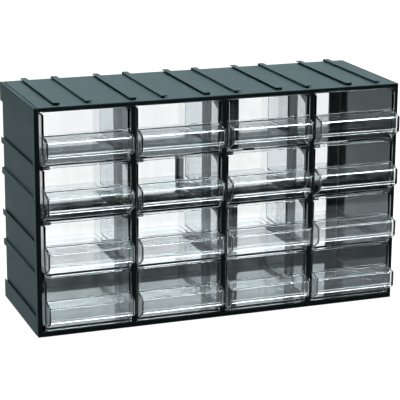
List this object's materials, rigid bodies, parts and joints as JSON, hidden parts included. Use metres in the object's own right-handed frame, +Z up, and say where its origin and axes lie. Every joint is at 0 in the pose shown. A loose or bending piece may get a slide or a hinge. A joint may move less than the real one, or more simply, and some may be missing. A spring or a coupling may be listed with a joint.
{
  "type": "parts cabinet",
  "caption": "Modular plastic parts cabinet: dark snap-together housing with clear pull-out drawers that slide on runners, and hooked rails that join it to others.",
  "frame": {"origin": "middle of the footprint, drawer pulls included, on the surface that the cabinet stands on", "axes": "+X to the right as seen from the drawer fronts, +Y from the drawer fronts to the back, +Z up"},
  "size_m": [0.382, 0.148, 0.23],
  "materials": {
    "charcoal_plastic": "satin moulded, dark charcoal grey",
    "clear_plastic": "glossy, colourless and clear"
  },
  "bodies": {
    "housing": {"left_side_panel": "charcoal_plastic", "right_side_panel": "charcoal_plastic", "top_panel": "charcoal_plastic", "bottom_panel": "charcoal_plastic", "left_divider": "charcoal_plastic", "centre_divider": "charcoal_plastic", "right_divider": "charcoal_plastic", "rear_lattice": "charcoal_plastic"},
    "drawer_row1_col1": {"drawer_row1_col1": "clear_plastic"},
    "drawer_row1_col2": {"drawer_row1_col2": "clear_plastic"},
    "drawer_row1_col3": {"drawer_row1_col3": "clear_plastic"},
    "drawer_row1_col4": {"drawer_row1_col4": "clear_plastic"},
    "drawer_row2_col1": {"drawer_row2_col1": "clear_plastic"},
    "drawer_row2_col2": {"drawer_row2_col2": "clear_plastic"},
    "drawer_row2_col3": {"drawer_row2_col3": "clear_plastic"},
    "drawer_row2_col4": {"drawer_row2_col4": "clear_plastic"},
    "drawer_row3_col1": {"drawer_row3_col1": "clear_plastic"},
    "drawer_row3_col2": {"drawer_row3_col2": "clear_plastic"},
    "drawer_row3_col3": {"drawer_row3_col3": "clear_plastic"},
    "drawer_row3_col4": {"drawer_row3_col4": "clear_plastic"},
    "drawer_row4_col1": {"drawer_row4_col1": "clear_plastic"},
    "drawer_row4_col2": {"drawer_row4_col2": "clear_plastic"},
    "drawer_row4_col3": {"drawer_row4_col3": "clear_plastic"},
    "drawer_row4_col4": {"drawer_row4_col4": "clear_plastic"}
  },
  "joints": [
    {"name": "drawer_row1_col1_slide", "type": "slide", "parent": "housing", "child": "drawer_row1_col1", "axis": [0, -1, 0], "range_m": [0, 0.1]},
    {"name": "drawer_row1_col2_slide", "type": "slide", "parent": "housing", "child": "drawer_row1_col2", "axis": [0, -1, 0], "range_m": [0, 0.1]},
    {"name": "drawer_row1_col3_slide", "type": "slide", "parent": "housing", "child": "drawer_row1_col3", "axis": [0, -1, 0], "range_m": [0, 0.1]},
    {"name": "drawer_row1_col4_slide", "type": "slide", "parent": "housing", "child": "drawer_row1_col4", "axis": [0, -1, 0], "range_m": [0, 0.1]},
    {"name": "drawer_row2_col1_slide", "type": "slide", "parent": "housing", "child": "drawer_row2_col1", "axis": [0, -1, 0], "range_m": [0, 0.1]},
    {"name": "drawer_row2_col2_slide", "type": "slide", "parent": "housing", "child": "drawer_row2_col2", "axis": [0, -1, 0], "range_m": [0, 0.1]},
    {"name": "drawer_row2_col3_slide", "type": "slide", "parent": "housing", "child": "drawer_row2_col3", "axis": [0, -1, 0], "range_m": [0, 0.1]},
    {"name": "drawer_row2_col4_slide", "type": "slide", "parent": "housing", "child": "drawer_row2_col4", "axis": [0, -1, 0], "range_m": [0, 0.1]},
    {"name": "drawer_row3_col1_slide", "type": "slide", "parent": "housing", "child": "drawer_row3_col1", "axis": [0, -1, 0], "range_m": [0, 0.1]},
    {"name": "drawer_row3_col2_slide", "type": "slide", "parent": "housing", "child": "drawer_row3_col2", "axis": [0, -1, 0], "range_m": [0, 0.1]},
    {"name": "drawer_row3_col3_slide", "type": "slide", "parent": "housing", "child": "drawer_row3_col3", "axis": [0, -1, 0], "range_m": [0, 0.1]},
    {"name": "drawer_row3_col4_slide", "type": "slide", "parent": "housing", "child": "drawer_row3_col4", "axis": [0, -1, 0], "range_m": [0, 0.1]},
    {"name": "drawer_row4_col1_slide", "type": "slide", "parent": "housing", "child": "drawer_row4_col1", "axis": [0, -1, 0], "range_m": [0, 0.1]},
    {"name": "drawer_row4_col2_slide", "type": "slide", "parent": "housing", "child": "drawer_row4_col2", "axis": [0, -1, 0], "range_m": [0, 0.1]},
    {"name": "drawer_row4_col3_slide", "type": "slide", "parent": "housing", "child": "drawer_row4_col3", "axis": [0, -1, 0], "range_m": [0, 0.1]},
    {"name": "drawer_row4_col4_slide", "type": "slide", "parent": "housing", "child": "drawer_row4_col4", "axis": [0, -1, 0], "range_m": [0, 0.1]}
  ]
}
